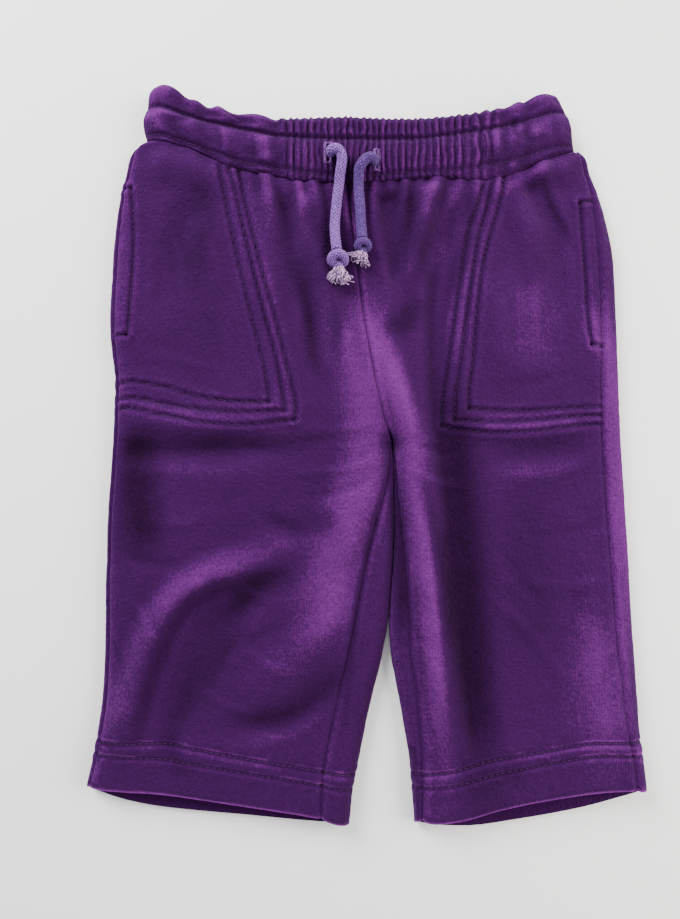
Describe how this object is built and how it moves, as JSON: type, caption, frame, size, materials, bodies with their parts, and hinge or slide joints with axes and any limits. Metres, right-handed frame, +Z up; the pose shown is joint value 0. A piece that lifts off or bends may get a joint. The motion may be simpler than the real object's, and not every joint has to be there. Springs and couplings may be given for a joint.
{
  "type": "baby trousers",
  "caption": "Baby velour trousers lying flat, with a gathered elastic waistband, knotted drawstring ends, in-seam pockets and turned-up hems.",
  "frame": {"origin": "on the floor under the middle of the garment as it lies flat, front up", "axes": "+Z up from the floor, +Y from the hems to the waist, +X to the wearer's left leg"},
  "size_m": [0.2718, 0.3657, 0.0203],
  "materials": {
    "velour": "brushed velour with a soft nap",
    "pocket_velour": "brushed velour with a soft nap",
    "cord": "soft braided cotton cord"
  },
  "bodies": {
    "root": {"front_right": "velour", "back_right": "velour", "front_left": "velour", "back_left": "velour", "waistband_front": "velour", "waistband_back": "velour", "pocket_bag_right": "pocket_velour", "pocket_bag_left": "pocket_velour", "drawstring_right": "cord", "knot_right": "cord", "drawstring_left": "cord", "knot_left": "cord"}
  },
  "joints": []
}
